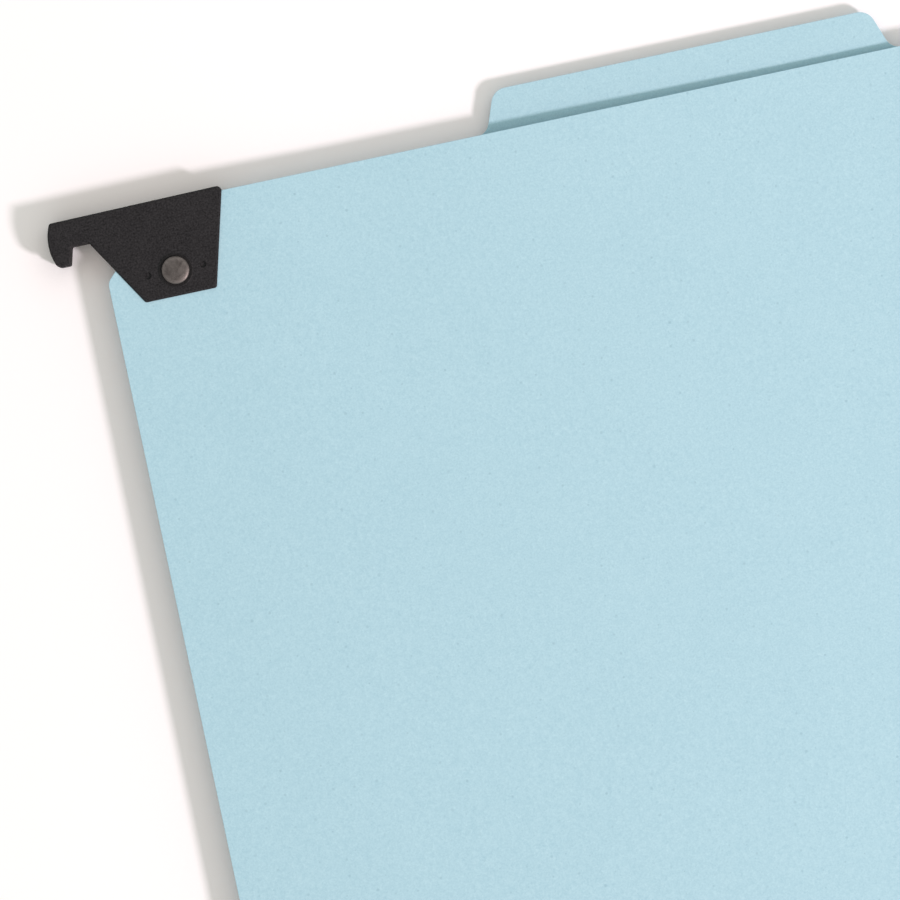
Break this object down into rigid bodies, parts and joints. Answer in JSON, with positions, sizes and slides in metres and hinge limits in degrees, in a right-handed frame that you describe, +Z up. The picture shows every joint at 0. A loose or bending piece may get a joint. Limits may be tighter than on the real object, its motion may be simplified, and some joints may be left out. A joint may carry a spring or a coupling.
{
  "type": "hanging file folder",
  "caption": "Pressboard hanging file folder with an index tab, riveted plastic corner hooks that sit on file rails, a folded cloth gusset and slide-lock paper fasteners inside.",
  "frame": {"origin": "middle of the closed folder's outline, on the surface that it lies on", "axes": "+X across the folder from the left rail to the right rail, +Y from the bottom pleat to the tab, +Z up out of the front panel"},
  "size_m": [0.3234, 0.2608, 0.0093],
  "materials": {
    "pressboard": "matt calendered board",
    "hook_plastic": "fine moulded grain",
    "rivet_steel": "satin",
    "gusset_cloth": "spun-bonded fibre cloth",
    "patch_board": "matt board",
    "fastener_steel": "tin-plated strip"
  },
  "bodies": {
    "back": {"back_panel": "pressboard", "back_left_hook": "hook_plastic", "back_right_hook": "hook_plastic", "back_left_rivet": "rivet_steel", "back_right_rivet": "rivet_steel", "back_gusset_flap": "gusset_cloth", "back_gusset_leg": "gusset_cloth", "back_fastener_patch": "patch_board", "back_prong_strip": "fastener_steel", "back_compressor": "fastener_steel"},
    "front": {"front_panel": "pressboard", "front_left_hook": "hook_plastic", "front_right_hook": "hook_plastic", "front_left_rivet": "rivet_steel", "front_right_rivet": "rivet_steel", "front_gusset_flap": "gusset_cloth", "front_gusset_leg": "gusset_cloth", "front_fastener_patch": "patch_board", "front_prong_strip": "fastener_steel", "front_compressor": "fastener_steel"},
    "back_upper_slider": {"back_upper_slider": "fastener_steel"},
    "back_lower_slider": {"back_lower_slider": "fastener_steel"},
    "front_upper_slider": {"front_upper_slider": "fastener_steel"},
    "front_lower_slider": {"front_lower_slider": "fastener_steel"}
  },
  "joints": [
    {"name": "front_cover_fold", "type": "hinge", "parent": "back", "child": "front", "pos_m": [0, -0.13048, 0.00464], "axis": [1, 0, 0], "range_deg": [0, 180]},
    {"name": "back_upper_slider_slide", "type": "slide", "parent": "back", "child": "back_upper_slider", "axis": [0, -1, 0], "range_m": [0, 0.015]},
    {"name": "back_lower_slider_slide", "type": "slide", "parent": "back", "child": "back_lower_slider", "axis": [0, 1, 0], "range_m": [0, 0.015]},
    {"name": "front_upper_slider_slide", "type": "slide", "parent": "front", "child": "front_upper_slider", "axis": [0, -1, 0], "range_m": [0, 0.015]},
    {"name": "front_lower_slider_slide", "type": "slide", "parent": "front", "child": "front_lower_slider", "axis": [0, 1, 0], "range_m": [0, 0.015]}
  ]
}
